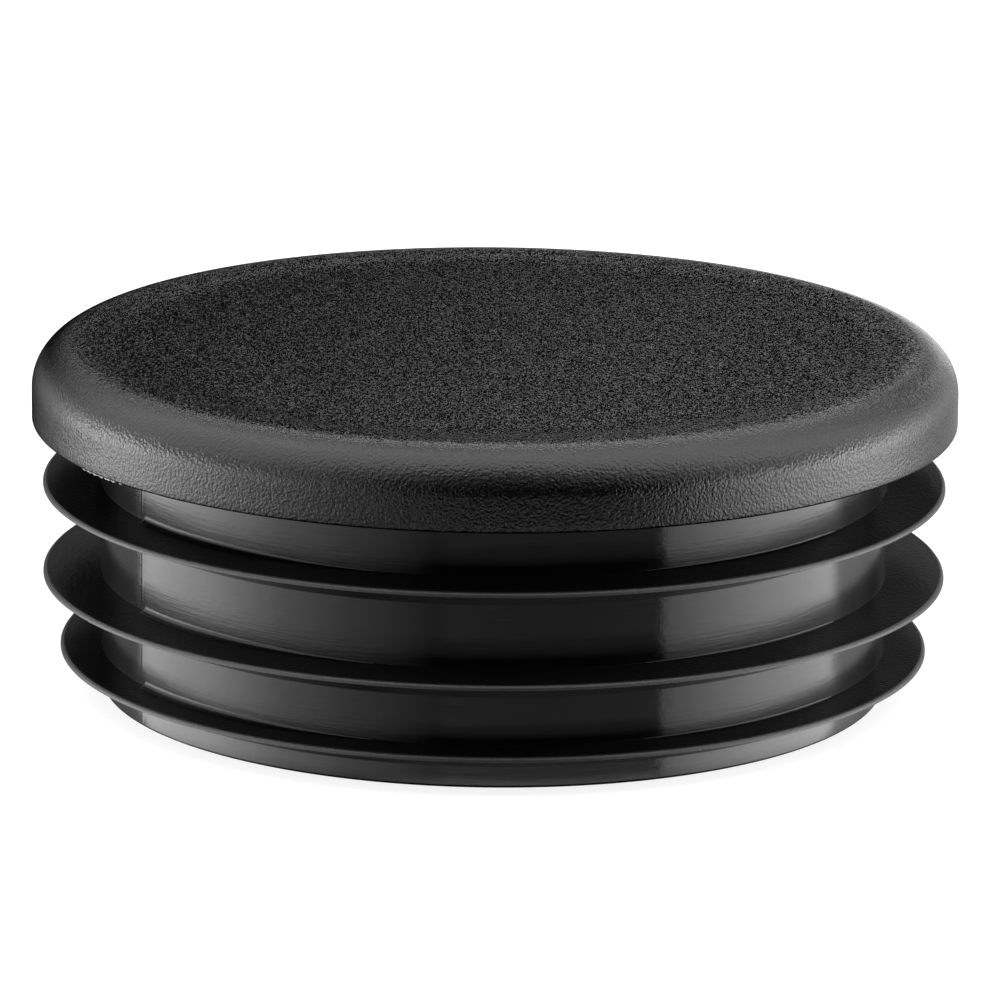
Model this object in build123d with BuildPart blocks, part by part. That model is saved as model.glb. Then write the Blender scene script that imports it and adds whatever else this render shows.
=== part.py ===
"""Round ribbed end cap for a 60 mm tube, moulded in one piece.

A disc head closes the tube and seats on its end face. A hollow barrel below the head goes
into the tube, and three thin fins round the barrel grip the bore. Millimetres, +Z up. The
origin is the centre of the barrel's open end, so the cap stands on z = 0.
"""

import os
from math import cos, radians, sin, tan

from build123d import *

# Head, the disc that stays outside the tube
head_diameter = 60.0
head_thickness = 5.0
head_edge_radius = 2.9  # rounding between the side and the top face
head_edge_break = 7.5  # degrees, the shallow crease where the rounding meets the top face
head_lower_round = 0.2  # lower rim of the head

# Barrel, the hollow skirt inside the tube
barrel_diameter = 51.0
barrel_wall = 2.0  # at the open end
barrel_end_round = 0.2  # outer edge of the open end

# Fins: level top faces, narrow lands at the tips and undersides that thicken to the root
grip_fin_diameter = 58.6  # the two fins next to the head
lead_fin_diameter = 56.4  # the smaller fin that enters the tube first
grip_fin_root = 1.8  # thickness where the fin meets the barrel
lead_fin_root = 1.36
fin_land = 0.3  # height of the cylindrical land at a tip
fin_tip_round = 0.12  # upper edge of the land
fin_root_fillet = 0.4  # between a top face and the barrel

# Heights along the axis, from one top face to the next
seat_to_first_fin = 3.95  # head's underside down to the first fin
first_fin_pitch = 5.95
second_fin_pitch = 4.95
lead_fin_height = 2.75  # top face of the last fin above the open end

# Cavity, open at the barrel's end and closed by the head
top_wall = 3.0
core_draft = 0.5  # degrees on the cavity's side
ceiling_fillet = 1.0

# Worked-out radii and levels
head_radius = head_diameter / 2
barrel_radius = barrel_diameter / 2
grip_fin_radius = grip_fin_diameter / 2
lead_fin_radius = lead_fin_diameter / 2

lead_fin_top = lead_fin_height
second_fin_top = lead_fin_top + second_fin_pitch
first_fin_top = second_fin_top + first_fin_pitch
seat_level = first_fin_top + seat_to_first_fin
head_top = seat_level + head_thickness

break_angle = radians(head_edge_break)
edge_centre_radius = head_radius - head_edge_radius
edge_centre_level = head_top - head_edge_radius * cos(break_angle)
face_radius = edge_centre_radius + head_edge_radius * sin(break_angle)

mouth_radius = barrel_radius - barrel_wall
ceiling_level = head_top - top_wall
ceiling_radius = mouth_radius - ceiling_level * tan(radians(core_draft))

fins = [
    (grip_fin_radius, first_fin_top, grip_fin_root),
    (grip_fin_radius, second_fin_top, grip_fin_root),
    (lead_fin_radius, lead_fin_top, lead_fin_root),
]


def corners_at(section, radius, level):
    """The corners of a half section at one radius and level."""
    spot = Vector(radius, level)
    return section.vertices().filter_by(lambda corner: (Vector(corner) - spot).length < 1e-4)


def head_outline():
    """Closed outline of the head's half section: face, rounded edge, side and seat."""
    middle_angle = (break_angle + radians(90)) / 2
    edge_start = (face_radius, head_top)
    edge_middle = (
        edge_centre_radius + head_edge_radius * sin(middle_angle),
        edge_centre_level + head_edge_radius * cos(middle_angle),
    )
    edge_end = (head_radius, edge_centre_level)
    Line((0, head_top), edge_start)
    ThreePointArc(edge_start, edge_middle, edge_end)
    Polyline(edge_end, (head_radius, seat_level), (0, seat_level), (0, head_top))


def fin_outline(tip_radius, top_level, root_thickness):
    """Closed outline of one fin's half section, from the barrel's surface to the tip."""
    Polyline(
        (barrel_radius, top_level),
        (tip_radius, top_level),
        (tip_radius, top_level - fin_land),
        (barrel_radius, top_level - root_thickness),
        close=True,
    )


with BuildPart() as end_cap:
    # Half section of the solid shape, turned about the axis
    with BuildSketch(Plane.XZ) as section:
        with BuildLine():
            head_outline()
        make_face()
        with BuildLine():
            Polyline(
                (0, 0), (barrel_radius, 0), (barrel_radius, seat_level), (0, seat_level), close=True
            )
        make_face()
        for tip_radius, top_level, root_thickness in fins:
            with BuildLine():
                fin_outline(tip_radius, top_level, root_thickness)
            make_face()
        for tip_radius, top_level, _ in fins:
            fillet(corners_at(section, tip_radius, top_level), fin_tip_round)
            fillet(corners_at(section, barrel_radius, top_level), fin_root_fillet)
        fillet(corners_at(section, head_radius, seat_level), head_lower_round)
        fillet(corners_at(section, barrel_radius, 0), barrel_end_round)
    revolve(axis=Axis.Z)

    # Cavity, with a rounded ceiling corner
    with BuildSketch(Plane.XZ) as cavity:
        with BuildLine():
            Polyline(
                (0, 0),
                (mouth_radius, 0),
                (ceiling_radius, ceiling_level),
                (0, ceiling_level),
                close=True,
            )
        make_face()
        fillet(corners_at(cavity, ceiling_radius, ceiling_level), ceiling_fillet)
    revolve(axis=Axis.Z, mode=Mode.SUBTRACT)

end_cap.part.label = "end_cap"
os.makedirs("parts", exist_ok=True)
export_step(end_cap.part, "parts/end_cap.step")
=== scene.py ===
from math import atan2, cos, pi, radians, sin, tan

import bpy
from mathutils import Matrix, Vector


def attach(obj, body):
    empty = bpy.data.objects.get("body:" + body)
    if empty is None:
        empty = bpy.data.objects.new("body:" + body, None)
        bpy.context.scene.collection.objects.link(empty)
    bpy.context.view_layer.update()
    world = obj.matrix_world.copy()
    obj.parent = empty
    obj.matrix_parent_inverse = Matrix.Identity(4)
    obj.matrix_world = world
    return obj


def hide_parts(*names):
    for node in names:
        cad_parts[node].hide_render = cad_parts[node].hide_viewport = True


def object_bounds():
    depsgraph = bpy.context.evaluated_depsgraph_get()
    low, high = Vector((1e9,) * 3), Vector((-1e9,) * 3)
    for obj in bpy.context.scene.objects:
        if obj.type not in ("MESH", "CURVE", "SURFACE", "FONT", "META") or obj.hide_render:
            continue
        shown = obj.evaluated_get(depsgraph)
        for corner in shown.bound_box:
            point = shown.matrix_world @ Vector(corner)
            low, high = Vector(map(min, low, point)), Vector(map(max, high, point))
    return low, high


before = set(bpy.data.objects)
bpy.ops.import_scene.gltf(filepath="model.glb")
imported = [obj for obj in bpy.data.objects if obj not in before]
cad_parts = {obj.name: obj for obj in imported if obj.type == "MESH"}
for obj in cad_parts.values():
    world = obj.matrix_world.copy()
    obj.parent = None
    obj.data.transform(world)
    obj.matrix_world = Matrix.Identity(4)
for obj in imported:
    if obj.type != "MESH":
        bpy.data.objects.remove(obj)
cad_low, cad_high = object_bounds()

MM = 0.001

# Camera: aimed at the cap's axis, 14 degrees above level, with small turns that set the framing
CAMERA_DISTANCE = 552.47 * MM
CAMERA_AIM_LEVEL = 13.97 * MM
CAMERA_ELEVATION = radians(14.339)
CAMERA_PAN = radians(-0.0397)
CAMERA_TILT = radians(-0.1966)
CAMERA_ROLL = radians(-0.5400)
LENS = 306.1  # millimetres, as is the sensor
SENSOR = 36.0

# Half section of the moulding, in metres
HEAD_RADIUS = cad_high.x
HEAD_TOP = cad_high.z
HEAD_THICKNESS = 5.0 * MM
EDGE_RADIUS = 2.9 * MM
EDGE_BREAK = radians(7.5)  # between the level face and the start of the rounding
LOWER_ROUND = 0.2 * MM
BARREL_RADIUS = 25.5 * MM
WALL = 2.0 * MM
FINS = (  # tip radius, level of the top face, thickness at the root
    (29.3 * MM, 13.65 * MM, 1.8 * MM),
    (29.3 * MM, 7.7 * MM, 1.8 * MM),
    (28.2 * MM, 2.75 * MM, 1.36 * MM),
)
FIN_LAND = 0.3 * MM
FIN_TIP_ROUND = 0.24 * MM
WIDE_ROOT_FILLET = 0.42 * MM  # beside the parting line at the left
NARROW_ROOT_FILLET = 0.03 * MM
WIDE_FILLET_RISE = radians(1)  # beyond the parting line, where it is wide again
WIDE_FILLET_FALL = (radians(-48), radians(-10))  # azimuths between which it narrows
SECOND_FILLET_SHARE = 0.3  # of the wide fillet, at the right
SECOND_FILLET_RISE = (radians(14), radians(34))
SECOND_FILLET_FALL = (radians(52), radians(62))
SEEN_FILLET_SHARE = 0.1  # a fillet with less of the wide one has the finish of the fin's top
END_ROUND = 0.2 * MM
TOP_WALL = 3.0 * MM
CORE_DRAFT = radians(0.5)
CEILING_FILLET = 1.0 * MM

# Sink mark: the face inside the ring above the barrel's wall has sunk a little
SINK_INNER_RADIUS = 22.8 * MM
SINK_OUTER_RADIUS = 27.0 * MM
SINK_DEPTH = 0.1 * MM

# Spark-eroded grain of the level face, deeper towards the rim
FACE_GRAIN_DEPTH = 0.0255 * MM
RIM_GRAIN_DEPTH = 0.038 * MM
RIM_GRAIN_START = 25.8 * MM  # radii between which it deepens
RIM_GRAIN_END = 27.5 * MM

# Parting line of the two outer mould halves
PARTING_AZIMUTHS = (radians(-61.2), radians(118.8))
PARTING_HEIGHT = 0.012 * MM
PARTING_HALF_WIDTH = 0.06 * MM

# Ragged flash left by the mould under the head's edge, at the left
FLASH_AZIMUTHS = (radians(-62), radians(-48))
FLASH_HEIGHT = 0.13 * MM
FLASH_RISE = radians(3)
FLASH_FALL = radians(7)
FLASH_RIPPLES = (211, 127)  # waves in one turn; the two together make it ragged
FLASH_LEAST = 0.1  # share of its height that it keeps between the ripples
FLASH_HIGHLIGHT_SHARE = 0.25  # from this share of its height on, it is coloured pale as a painted highlight

# Mesh
COLUMNS = 360  # round the cap, with closer ones added at the flash and the parting lines
FLASH_STEP = radians(0.25)
FACE_ROWS = 60
MIDDLE_HOLE = 0.05 * MM  # radius of the fan of triangles at the middle

BLACK = 0.0015

# Studio, with distances in metres
LAMP_DISTANCE = 0.6
CEILING_HEIGHT = 0.7
CAP_MIDDLE = (cad_low.z + cad_high.z) / 2
FLOOR_HALF = 3.0
FLOOR_SHADE = 0.4
FLOOR_GLOW = 0.82  # what the camera sees of the floor in full shadow
DARK_ROOM = 0.003  # what the cap sees of the world between the lamps
LOW_GAIN = 1.9  # of the low lamps' upper edge, which makes 1 at the height that the walls mirror


# ---------------------------------------------------------------- section

# Finishes, in the order of cap_materials()
(
    FACE_ZONE, SIDE_ZONE, FLASH_ZONE, BAND_ZONE, LIP_ZONE, FILLET_ZONE, FIN_TOP_ZONE, FIN_EDGE_ZONE,
    CAVITY_ZONE
) = range(9)
PARTED_ZONES = (BAND_ZONE, LIP_ZONE, FILLET_ZONE, FIN_TOP_ZONE, FIN_EDGE_ZONE)


class Section:
    """The half section as points (radius, level), with each one's zone and whether it is sharp."""

    def __init__(self):
        self.points = []
        self.sharp = []
        self.zones = []
        self.zone = FACE_ZONE
        self.flash_row = None

    def to(self, radius, level, sharp=False):
        """Add a point in the present zone."""
        self.points.append((radius, level))
        self.sharp.append(sharp)
        self.zones.append(self.zone)

    def line(self, radius, level, steps=1, sharp=False):
        """Points on a line from the last one; only its end can be sharp."""
        r0, z0 = self.points[-1]
        for i in range(1, steps + 1):
            t = i / steps
            self.to(r0 + (radius - r0) * t, z0 + (level - z0) * t, sharp and i == steps)

    def arc(self, centre, size, start, end, steps):
        """Points on an arc; angles are measured from the outward radius, up being positive."""
        for i in range(1, steps + 1):
            a = start + (end - start) * i / steps
            self.to(centre[0] + size * cos(a), centre[1] + size * sin(a))


def fillet_between(corner, before, after, size):
    """The arc that rounds a corner: its centre, its start from there and its two angles."""
    c = Vector(corner)
    a = (Vector(before) - c).normalized()
    b = (Vector(after) - c).normalized()
    half = a.angle(b) / 2
    centre = c + (a + b).normalized() * (size / sin(half))
    reach = size / tan(half)
    start = c + a * reach - centre
    end = c + b * reach - centre
    start_angle = atan2(start.y, start.x)
    end_angle = atan2(end.y, end.x)
    while end_angle - start_angle > pi:
        end_angle -= 2 * pi
    while start_angle - end_angle > pi:
        end_angle += 2 * pi
    return centre, start, start_angle, end_angle


def add_fillet(section, corner, before, after, size, steps):
    """A line to the corner's fillet, then the fillet in its own zone."""
    centre, start, start_angle, end_angle = fillet_between(corner, before, after, size)
    section.line(centre.x + start.x, centre.y + start.y, steps=3)
    section.zone = FILLET_ZONE
    section.arc(centre, size, start_angle, end_angle, steps)


def sink_depth(radius):
    """How far the face has sunk at a radius, all of it inside the ring and none outside."""
    t = (radius - SINK_INNER_RADIUS) / (SINK_OUTER_RADIUS - SINK_INNER_RADIUS)
    t = min(max(t, 0.0), 1.0)
    return SINK_DEPTH * (1 - t * t * (3 - 2 * t))


def cap_section(root_fillet):
    """The half section: from the face's middle, down the outside and up the cavity's wall."""
    s = Section()
    edge_centre = (HEAD_RADIUS - EDGE_RADIUS, HEAD_TOP - EDGE_RADIUS * cos(EDGE_BREAK))
    face_radius = edge_centre[0] + EDGE_RADIUS * sin(EDGE_BREAK)
    seat = HEAD_TOP - HEAD_THICKNESS

    # face, from the middle outwards, sunk a little inside the sink ring; then the rounded edge
    for i in range(FACE_ROWS + 1):
        radius = max(face_radius * i / FACE_ROWS, MIDDLE_HOLE)
        s.to(radius, HEAD_TOP - sink_depth(radius))
    s.zone = SIDE_ZONE
    s.arc(edge_centre, EDGE_RADIUS, pi / 2 - EDGE_BREAK, 0.0, steps=20)
    s.line(HEAD_RADIUS, seat + LOWER_ROUND, steps=4)
    s.arc((HEAD_RADIUS - LOWER_ROUND, seat + LOWER_ROUND), LOWER_ROUND, 0.0, -pi / 2, steps=4)
    s.flash_row = len(s.points) - 2
    s.zone = BAND_ZONE
    s.line(BARREL_RADIUS, seat, steps=2, sharp=True)

    # barrel's outside with its fins
    level = seat
    for tip, top, root in FINS:
        root_corner = (BARREL_RADIUS, top)
        tip_corner = (tip, top)
        add_fillet(s, root_corner, (BARREL_RADIUS, level), tip_corner, root_fillet, steps=6)
        s.zone = FIN_TOP_ZONE
        s.line(tip - FIN_TIP_ROUND, top, steps=4)
        s.zone = FIN_EDGE_ZONE
        s.arc((tip - FIN_TIP_ROUND, top - FIN_TIP_ROUND), FIN_TIP_ROUND, pi / 2, 0.0, steps=6)
        s.line(tip, top - FIN_LAND, sharp=True)
        s.zone = BAND_ZONE
        s.line(BARREL_RADIUS, top - root, steps=3, sharp=True)
        level = top - root
    s.zone = LIP_ZONE
    s.line(BARREL_RADIUS, END_ROUND, steps=2)
    s.arc((BARREL_RADIUS - END_ROUND, END_ROUND), END_ROUND, 0.0, -pi / 2, steps=4)

    # open end and cavity
    mouth = BARREL_RADIUS - WALL
    ceiling = HEAD_TOP - TOP_WALL
    ceiling_radius = mouth - ceiling * tan(CORE_DRAFT)
    s.line(mouth, 0.0, steps=2, sharp=True)
    s.zone = CAVITY_ZONE
    centre, start, start_angle, end_angle = fillet_between(
        (ceiling_radius, ceiling), (mouth, 0.0), (0.0, ceiling), CEILING_FILLET
    )
    s.line(centre.x + start.x, centre.y + start.y, steps=6)
    s.arc(centre, CEILING_FILLET, start_angle, end_angle, steps=8)
    s.line(MIDDLE_HOLE, ceiling, steps=8)
    return s


def column_azimuths():
    """Azimuths of the mesh's columns, 0 at the front and growing to the right."""
    start, end = (azimuth % (2 * pi) for azimuth in FLASH_AZIMUTHS)
    spots = [2 * pi * i / COLUMNS for i in range(COLUMNS)]
    spots = [a for a in spots if a < start or a > end]
    flash_columns = round((end - start) / FLASH_STEP)
    spots += [start + FLASH_STEP * i for i in range(flash_columns + 1)]

    # close columns across each parting line
    step = PARTING_HALF_WIDTH / BARREL_RADIUS
    for parting in PARTING_AZIMUTHS:
        middle = parting % (2 * pi)
        spots = [a for a in spots if abs(a - middle) > 3 * step]
        spots += [middle + step * k for k in (-2, -1, -0.5, 0, 0.5, 1, 2)]
    return sorted(spots)


def ease(value, start, end):
    """0 before start, 1 after end and a smooth rise between them."""
    t = min(max((value - start) / (end - start), 0.0), 1.0)
    return t * t * (3 - 2 * t)


def wide_share(azimuth):
    """How much of the wide root fillet there is at an azimuth; the rest is the narrow one."""
    turn = (azimuth + pi) % (2 * pi) - pi
    rise = ease(turn, PARTING_AZIMUTHS[0], PARTING_AZIMUTHS[0] + WIDE_FILLET_RISE)
    fall = ease(turn, *WIDE_FILLET_FALL)
    second_rise = ease(turn, *SECOND_FILLET_RISE)
    second_fall = ease(turn, *SECOND_FILLET_FALL)
    return rise * (1 - fall) + SECOND_FILLET_SHARE * second_rise * (1 - second_fall)


def ridge_height(azimuth):
    """Height of the parting ridges at an azimuth."""
    height = 0.0
    for parting in PARTING_AZIMUTHS:
        away = abs((azimuth - parting + pi) % (2 * pi) - pi) * BARREL_RADIUS
        height += PARTING_HEIGHT * (1 - ease(away, 0.0, 2 * PARTING_HALF_WIDTH))
    return height


def flash_height(azimuth):
    """How far the flash hangs below the head at an azimuth."""
    turn = (azimuth + pi) % (2 * pi) - pi
    start, end = FLASH_AZIMUTHS
    reach = ease(turn, start, start + FLASH_RISE) * (1 - ease(turn, end - FLASH_FALL, end))
    ragged = abs(sin(FLASH_RIPPLES[0] * turn) * sin(FLASH_RIPPLES[1] * turn))
    return FLASH_HEIGHT * reach * (FLASH_LEAST + (1 - FLASH_LEAST) * ragged)


def outward(points, row):
    """Unit normal of the section at a row, out of the material."""
    before = Vector(points[max(row - 1, 0)])
    after = Vector(points[min(row + 1, len(points) - 1)])
    along = (after - before).normalized()
    return Vector((-along.y, along.x))


def make_cap():
    """The section turned about the axis, with the fillets, ridges and flash of each column."""
    s = cap_section(NARROW_ROOT_FILLET)
    wide = cap_section(WIDE_ROOT_FILLET)
    azimuths = column_azimuths()
    rows, columns = len(s.points), len(azimuths)
    shares = [wide_share(azimuth) for azimuth in azimuths]
    ridges = [ridge_height(azimuth) for azimuth in azimuths]
    verts = []
    for row, zone in enumerate(s.zones):
        narrow_point, wide_point = Vector(s.points[row]), Vector(wide.points[row])
        raised = zone in PARTED_ZONES and narrow_point.y > 2 * END_ROUND  # not at the open end
        lift = outward(s.points, row) if raised else Vector((0.0, 0.0))
        for azimuth, share, ridge in zip(azimuths, shares, ridges):
            radius, level = narrow_point.lerp(wide_point, share) + lift * ridge
            if row == s.flash_row:
                level -= flash_height(azimuth)
            verts.append((radius * sin(azimuth), -radius * cos(azimuth), level))
    faces, zones = [], []
    for row in range(rows - 1):
        for column in range(columns):
            beside = (column + 1) % columns
            faces.append((
                row * columns + column,
                (row + 1) * columns + column,
                (row + 1) * columns + beside,
                row * columns + beside,
            ))
            zone = s.zones[row + 1]
            if zone == FILLET_ZONE and shares[column] + shares[beside] < 2 * SEEN_FILLET_SHARE:
                zone = FIN_TOP_ZONE
            flashes = flash_height(azimuths[column]) + flash_height(azimuths[beside])
            # faces where the flash hangs low get its pale painted highlight
            painted_flash = flashes > 2 * FLASH_HIGHLIGHT_SHARE * FLASH_HEIGHT
            if row in (s.flash_row - 1, s.flash_row) and painted_flash:
                zone = FLASH_ZONE
            zones.append(zone)
    top_middle = len(verts)
    verts.append((0.0, 0.0, s.points[0][1]))
    ceiling_middle = len(verts)
    verts.append((0.0, 0.0, s.points[-1][1]))
    last = (rows - 1) * columns
    for column in range(columns):
        beside = (column + 1) % columns
        faces.append((top_middle, column, beside))
        zones.append(FACE_ZONE)
        faces.append((ceiling_middle, last + beside, last + column))
        zones.append(CAVITY_ZONE)

    mesh = bpy.data.meshes.new("moulded_cap")
    mesh.from_pydata(verts, [], faces)
    mesh.polygons.foreach_set("material_index", zones)
    mesh.polygons.foreach_set("use_smooth", [True] * len(faces))
    sharp_rows = {row for row, is_sharp in enumerate(s.sharp) if is_sharp}
    for edge in mesh.edges:
        a, b = edge.vertices
        if a < rows * columns and b < rows * columns and a // columns == b // columns:
            edge.use_edge_sharp = (a // columns) in sharp_rows
    mesh.update()
    mesh.validate()
    piece = bpy.data.objects.new("moulded_cap", mesh)
    bpy.context.scene.collection.objects.link(piece)
    return piece


# ---------------------------------------------------------------- materials

def new_material(name):
    """A new material with its nodes, links and shader."""
    material = bpy.data.materials.new(name)
    material.use_nodes = True
    nodes = material.node_tree.nodes
    return material, nodes, material.node_tree.links, nodes["Principled BSDF"]


def plastic(name, roughness, specular=0.5, shade=BLACK):
    """Black polyethylene with one of its finishes, as material, nodes, links and shader."""
    material, nodes, links, shader = new_material(name)
    shader.inputs["Base Color"].default_value = (shade, shade, shade, 1.0)
    shader.inputs["Roughness"].default_value = roughness
    shader.inputs["Specular IOR Level"].default_value = specular
    shader.inputs["IOR"].default_value = 1.5
    return material, nodes, links, shader


def object_noise(nodes, links, size, detail=0.0, stretch=(1.0, 1.0, 1.0)):
    """Noise in the object's own space; size is the length of one swell."""
    place = nodes.new("ShaderNodeTexCoord")
    spread = nodes.new("ShaderNodeMapping")
    spread.inputs["Scale"].default_value = stretch
    noise = nodes.new("ShaderNodeTexNoise")
    noise.inputs["Scale"].default_value = 1 / size
    noise.inputs["Detail"].default_value = detail
    links.new(place.outputs["Object"], spread.inputs["Vector"])
    links.new(spread.outputs["Vector"], noise.inputs["Vector"])
    return noise.outputs["Fac"]


def add_bump(nodes, links, shader, height, distance, under=None):
    """A bump node over the one before it; returns its output and feeds the shader.

    The distance is a number, or a node's output where it changes over the surface.
    """
    bump = nodes.new("ShaderNodeBump")
    bump.inputs["Strength"].default_value = 1.0
    if isinstance(distance, bpy.types.NodeSocket):
        links.new(distance, bump.inputs["Distance"])
    else:
        bump.inputs["Distance"].default_value = distance
    links.new(height, bump.inputs["Height"])
    if under is not None:
        links.new(under, bump.inputs["Normal"])
    links.new(bump.outputs["Normal"], shader.inputs["Normal"])
    return bump.outputs["Normal"]


def face_material():
    """Level face of the head: shallow spark-eroded grain that deepens towards the rim."""
    material, nodes, links, shader = plastic("spark_eroded_face", roughness=0.08)
    grain = object_noise(nodes, links, size=0.16 * MM, detail=1.0)

    # depth of the grain by the distance from the axis
    place = nodes.new("ShaderNodeTexCoord")
    flat = nodes.new("ShaderNodeMapping")
    flat.inputs["Scale"].default_value = (1.0, 1.0, 0.0)
    radius = nodes.new("ShaderNodeVectorMath")
    radius.operation = "LENGTH"
    depth = nodes.new("ShaderNodeMapRange")
    depth.interpolation_type = "SMOOTHSTEP"
    depth.inputs["From Min"].default_value = RIM_GRAIN_START
    depth.inputs["From Max"].default_value = RIM_GRAIN_END
    depth.inputs["To Min"].default_value = FACE_GRAIN_DEPTH
    depth.inputs["To Max"].default_value = RIM_GRAIN_DEPTH
    links.new(place.outputs["Object"], flat.inputs["Vector"])
    links.new(flat.outputs["Vector"], radius.inputs[0])
    links.new(radius.outputs["Value"], depth.inputs["Value"])
    add_bump(nodes, links, shader, grain, depth.outputs["Result"])
    return material


def side_material():
    """Rounded edge and side of the head: the same grain, cut deeper."""
    material, nodes, links, shader = plastic("spark_eroded_side", roughness=0.12)
    grain = object_noise(nodes, links, size=0.19 * MM, detail=2.0)
    add_bump(nodes, links, shader, grain, distance=0.064 * MM)
    return material


def barrel_material(name, specular):
    """Barrel between the fins: polished along its girth, which spreads reflections up and down."""
    material, nodes, links, shader = plastic(name, roughness=0.16, specular=specular)
    shader.inputs["Anisotropic"].default_value = 0.95
    shader.inputs["Anisotropic Rotation"].default_value = 0.25
    around = nodes.new("ShaderNodeTangent")
    around.direction_type = "RADIAL"
    around.axis = "Z"
    links.new(around.outputs["Tangent"], shader.inputs["Tangent"])
    streaks = object_noise(nodes, links, size=0.16 * MM, detail=2.0, stretch=(0.06, 0.06, 1.0))
    under = add_bump(nodes, links, shader, streaks, distance=0.005 * MM)
    swells = object_noise(nodes, links, size=0.7 * MM, detail=2.0)
    under = add_bump(nodes, links, shader, swells, distance=0.006 * MM, under=under)
    grain = object_noise(nodes, links, size=0.14 * MM)
    add_bump(nodes, links, shader, grain, distance=0.0015 * MM, under=under)
    return material


def fin_top_material():
    """Upper side of a fin: satin, with a fine grain."""
    material, nodes, links, shader = plastic(
        "satin_fin_top", roughness=0.4, specular=0.08, shade=0.003
    )
    grain = object_noise(nodes, links, size=0.25 * MM, detail=1.0)
    add_bump(nodes, links, shader, grain, distance=0.04 * MM)
    return material


def fillet_material():
    """Root of a fin, where the polish doesn't reach."""
    material, nodes, links, shader = plastic("satin_root_fillet", roughness=0.3, specular=0.38)
    grain = object_noise(nodes, links, size=0.4 * MM, detail=2.0)
    add_bump(nodes, links, shader, grain, distance=0.02 * MM)
    return material


def fin_edge_material():
    """Tip of a fin, satin, coloured paler than the rest as a painted highlight."""
    # its shade of 0.012, paler than the black plastic, is a painted highlight along the fin's tip
    material, nodes, links, shader = plastic(
        "fin_edge_painted_highlight", roughness=0.45, specular=0.7, shade=0.012
    )
    grain = object_noise(nodes, links, size=0.15 * MM, detail=1.0)
    add_bump(nodes, links, shader, grain, distance=0.03 * MM)
    return material


def flash_material():
    """Thin torn flash, coloured pale as a painted highlight where it catches the light."""
    # shade 0.8 is a painted highlight, not the plastic's own colour
    material, nodes, links, shader = plastic("flash_painted_highlight", roughness=0.35, shade=0.8)
    grain = object_noise(nodes, links, size=0.1 * MM)
    add_bump(nodes, links, shader, grain, distance=0.03 * MM)
    return material


def cavity_material():
    """Inside, as turned on the mould's core: faint rings up the wall."""
    material, nodes, links, shader = plastic("turned_cavity", roughness=0.3)
    rings = object_noise(nodes, links, size=0.2 * MM, detail=2.0, stretch=(0.03, 0.03, 1.0))
    under = add_bump(nodes, links, shader, rings, distance=0.006 * MM)
    grain = object_noise(nodes, links, size=0.3 * MM, detail=1.0)
    add_bump(nodes, links, shader, grain, distance=0.01 * MM, under=under)
    return material


def cap_materials():
    """The finishes in the order of the zones."""
    return [
        face_material(),
        side_material(),
        flash_material(),
        barrel_material("polished_band", specular=0.5),
        barrel_material("polished_lip", specular=0.8),
        fillet_material(),
        fin_top_material(),
        fin_edge_material(),
        cavity_material(),
    ]


# ---------------------------------------------------------------- studio

def add_lamp(name, place, facing, width, height, radiance, far_radiance=None, top_gain=None):
    """A rectangular softbox turned towards `facing`.

    Its radiance may change along its width. With `top_gain` it also grows from nothing at the
    lower edge to that many times the radiance at the upper one, with the square of the height.
    """
    lamp = bpy.data.lights.new(name, "AREA")
    lamp.shape = "RECTANGLE"
    lamp.size = width
    lamp.size_y = height
    lamp.energy = pi * width * height  # a radiance of 1, which the nodes multiply
    lamp.use_nodes = True
    nodes, links = lamp.node_tree.nodes, lamp.node_tree.links
    glow = nodes["Emission"]
    glow.inputs["Strength"].default_value = radiance
    if far_radiance is not None:
        spot = nodes.new("ShaderNodeNewGeometry")
        split = nodes.new("ShaderNodeSeparateXYZ")
        fade = nodes.new("ShaderNodeMapRange")
        fade.inputs["To Min"].default_value = radiance
        fade.inputs["To Max"].default_value = far_radiance
        links.new(spot.outputs["Parametric"], split.inputs["Vector"])
        links.new(split.outputs["X"], fade.inputs["Value"])
        strength = fade.outputs["Result"]
        if top_gain is not None:
            square = nodes.new("ShaderNodeMath")
            square.operation = "MULTIPLY"
            links.new(split.outputs["Y"], square.inputs[0])
            links.new(split.outputs["Y"], square.inputs[1])
            gain = nodes.new("ShaderNodeMath")
            gain.operation = "MULTIPLY"
            gain.inputs[1].default_value = top_gain
            links.new(square.outputs["Value"], gain.inputs[0])
            both = nodes.new("ShaderNodeMath")
            both.operation = "MULTIPLY"
            links.new(strength, both.inputs[0])
            links.new(gain.outputs["Value"], both.inputs[1])
            strength = both.outputs["Value"]
        links.new(strength, glow.inputs["Strength"])
    lamp_object = bpy.data.objects.new(name, lamp)
    lamp_object.location = place
    lamp_object.rotation_euler = (-facing).to_track_quat("Z", "Y").to_euler()
    lamp_object.visible_camera = False
    bpy.context.scene.collection.objects.link(lamp_object)


def wall_light(name, azimuths, elevations, radiance, far_radiance=None, top_gain=None):
    """An upright softbox that fills these angles, seen from the cap.

    Azimuth 0 is the camera's side and grows to the right. The radiance runs from the first
    azimuth to the second.
    """
    start, end = (radians(a) for a in azimuths)
    low, high = (LAMP_DISTANCE * tan(radians(e)) for e in elevations)
    middle, half = (start + end) / 2, (end - start) / 2
    outwards = Vector((sin(middle), -cos(middle), 0.0))
    place = outwards * LAMP_DISTANCE + Vector((0.0, 0.0, CAP_MIDDLE + (low + high) / 2))
    width = 2 * LAMP_DISTANCE * tan(half)
    add_lamp(name, place, -outwards, width, high - low, radiance, far_radiance, top_gain)


def ceiling_light(name, x_range, y_range, radiance):
    """A level softbox above the cap."""
    place = Vector((sum(x_range) / 2, sum(y_range) / 2, CAP_MIDDLE + CEILING_HEIGHT))
    facing = Vector((0.0, 0.0, -1.0))
    add_lamp(name, place, facing, x_range[1] - x_range[0], y_range[1] - y_range[0], radiance)


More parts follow.
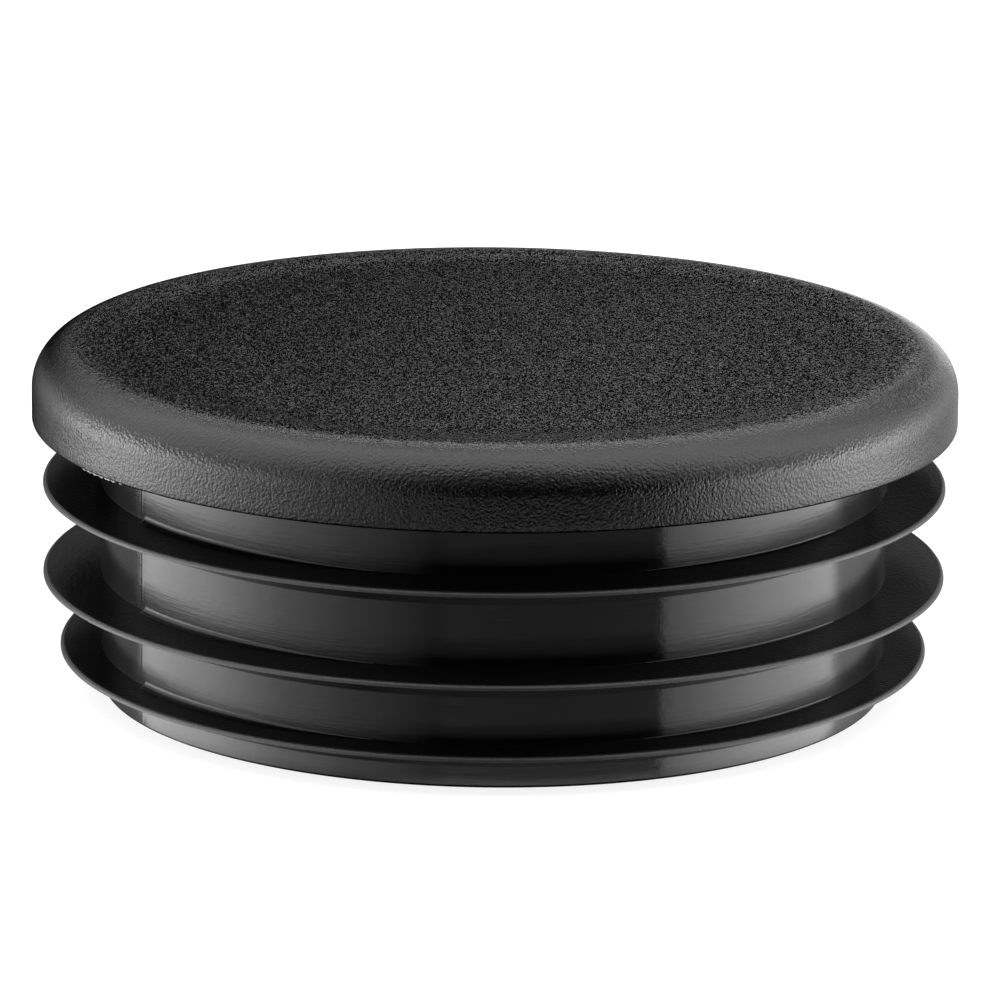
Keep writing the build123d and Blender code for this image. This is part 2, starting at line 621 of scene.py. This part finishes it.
def ring_light(name, elevations, stops, top_gain=None):
    """Upright softboxes side by side; stops are azimuths with the radiance there.

    Two stops at one azimuth are a step in the radiance.
    """
    for number, (near, far) in enumerate(zip(stops, stops[1:])):
        if far[0] > near[0]:
            azimuths = (near[0], far[0])
            wall_light(f"{name}_{number}", azimuths, elevations, near[1], far[1], top_gain)


def make_lights():
    """Softboxes where the cap's reflections show them. Angles are in degrees.

    Walls of the cap mirror the low rings, the rounded edge the higher ones, and the level face
    and the fins' tops what stands at the back.
    """
    ring_light("low_left", (-50, 6), (
        (-160, 0.1), (-123, 0.5), (-123, 3.1), (-112, 3.8), (-90, 3.8), (-62, 1.6), (-44, 0.9),
        (-16, 0.0)
    ), LOW_GAIN)
    ring_light("low_front", (-32, -26), ((-40, 0.0), (-14, 1.8), (49, 1.8)))
    ring_light("front_card", (-26, -9.5), ((-40, 0.0), (-14, 0.28), (49, 0.28)))
    ring_light("low_right", (-50, 6), (
        (49, 1.4), (82, 3.8), (101, 4.0), (114, 3.8), (119, 1.2), (140, 0.5), (176, 0.4), (186, 0.0)
    ), LOW_GAIN)
    ring_light("middle_left", (6, 10), (
        (-145, 0.3), (-125, 3.0), (-112, 5.0), (-98, 4.5), (-80, 2.8), (-24, 0.2)
    ))
    ring_light("upper_left", (10, 24), (
        (-145, 0.3), (-112, 1.4), (-98, 1.3), (-80, 0.9), (-24, 0.2)
    ))
    ring_light("middle_right", (6, 10), (
        (49, 0.8), (90, 2.0), (103, 4.5), (117, 5.0), (122, 1.8), (138, 1.2), (142, 0.3), (160, 0.1)
    ))
    ring_light("upper_right", (10, 24), (
        (49, 0.5), (90, 1.0), (103, 1.6), (117, 2.0), (122, 1.2), (138, 0.9), (142, 0.3), (160, 0.1)
    ))
    ring_light("high", (24, 60), (
        (-145, 1.2), (-100, 2.0), (-70, 2.0), (0, 0.0), (49, 1.2), (80, 2.8), (130, 1.5)
    ))
    wall_light("back_right_softbox", (153, 160), (6, 15), 1.4)
    wall_light("back_low_card", (166, 176), (-9, 0), 0.9)
    wall_light("back_strip", (160, 194), (25, 28.5), 3.4, 2.8)
    wall_light("back_upper_softbox", (135, 187), (28.5, 46), 1.2)
    wall_light("back_left_card", (191, 215), (20, 46), 0.8)
    wall_light("back_high_softbox", (130, 230), (46, 60), 0.7)
    ceiling_light("ceiling_softbox", (-0.40, 0.40), (-0.40, 0.40), 2.2)


def make_floor():
    """A floor that lamps and glow make white, with the cap's shadow on it, and clear from below.

    The glow is for the camera alone, and the cap doesn't mirror the floor.
    """
    mesh = bpy.data.meshes.new("floor")
    half = FLOOR_HALF
    mesh.from_pydata(
        [(-half, -half, 0), (half, -half, 0), (half, half, 0), (-half, half, 0)], [], [(0, 1, 2, 3)]
    )
    floor = bpy.data.objects.new("floor", mesh)
    bpy.context.scene.collection.objects.link(floor)
    material, nodes, links, shader = new_material("pale_floor")
    shader.inputs["Base Color"].default_value = (FLOOR_SHADE, FLOOR_SHADE, FLOOR_SHADE, 1.0)
    shader.inputs["Roughness"].default_value = 0.9
    shader.inputs["Specular IOR Level"].default_value = 0.0
    shader.inputs["Emission Color"].default_value = (1.0, 1.0, 1.0, 1.0)
    path = nodes.new("ShaderNodeLightPath")
    glow = nodes.new("ShaderNodeMath")
    glow.operation = "MULTIPLY"
    glow.inputs[1].default_value = FLOOR_GLOW
    links.new(path.outputs["Is Camera Ray"], glow.inputs[0])
    links.new(glow.outputs["Value"], shader.inputs["Emission Strength"])
    side = nodes.new("ShaderNodeNewGeometry")
    clear = nodes.new("ShaderNodeBsdfTransparent")
    either = nodes.new("ShaderNodeMixShader")
    links.new(side.outputs["Backfacing"], either.inputs["Fac"])
    links.new(shader.outputs["BSDF"], either.inputs[1])
    links.new(clear.outputs["BSDF"], either.inputs[2])
    links.new(either.outputs["Shader"], nodes["Material Output"].inputs["Surface"])
    mesh.materials.append(material)
    floor.visible_diffuse = False
    floor.visible_glossy = False
    floor.visible_shadow = False


def make_world():
    """White for the camera and a dark room for the cap."""
    world = bpy.data.worlds.new("studio")
    bpy.context.scene.world = world
    world.use_nodes = True
    nodes, links = world.node_tree.nodes, world.node_tree.links
    background = nodes["Background"]
    path = nodes.new("ShaderNodeLightPath")
    shade = nodes.new("ShaderNodeMapRange")
    shade.inputs["To Min"].default_value = DARK_ROOM
    shade.inputs["To Max"].default_value = 1.0
    links.new(path.outputs["Is Camera Ray"], shade.inputs["Value"])
    links.new(shade.outputs["Result"], background.inputs["Color"])


def make_camera():
    """The photo's camera, fitted to the fins, the open end and the head's outline."""
    data = bpy.data.cameras.new("camera")
    data.lens = LENS
    data.sensor_width = SENSOR
    data.clip_start = 0.01
    data.clip_end = 20.0
    camera = bpy.data.objects.new("camera", data)
    aim = Vector((0.0, 0.0, CAMERA_AIM_LEVEL))
    forward = Vector((0.0, cos(CAMERA_ELEVATION), -sin(CAMERA_ELEVATION)))
    right = Vector((1.0, 0.0, 0.0))
    up = right.cross(forward)
    place = aim - forward * CAMERA_DISTANCE
    turn = Matrix.Rotation(CAMERA_PAN, 3, up)
    forward, right = turn @ forward, turn @ right
    turn = Matrix.Rotation(CAMERA_TILT, 3, right)
    forward, up = turn @ forward, turn @ up
    turn = Matrix.Rotation(CAMERA_ROLL, 3, forward)
    right, up = turn @ right, turn @ up
    pose = Matrix((right, up, -forward)).transposed().to_4x4()
    pose.translation = place
    camera.matrix_world = pose
    bpy.context.scene.collection.objects.link(camera)
    bpy.context.scene.camera = camera


make_camera()
cap = make_cap()
for material in cap_materials():
    cap.data.materials.append(material)
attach(cap, "root")
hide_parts("end_cap")

make_floor()
make_world()
make_lights()

bpy.context.scene.view_settings.view_transform = "Standard"
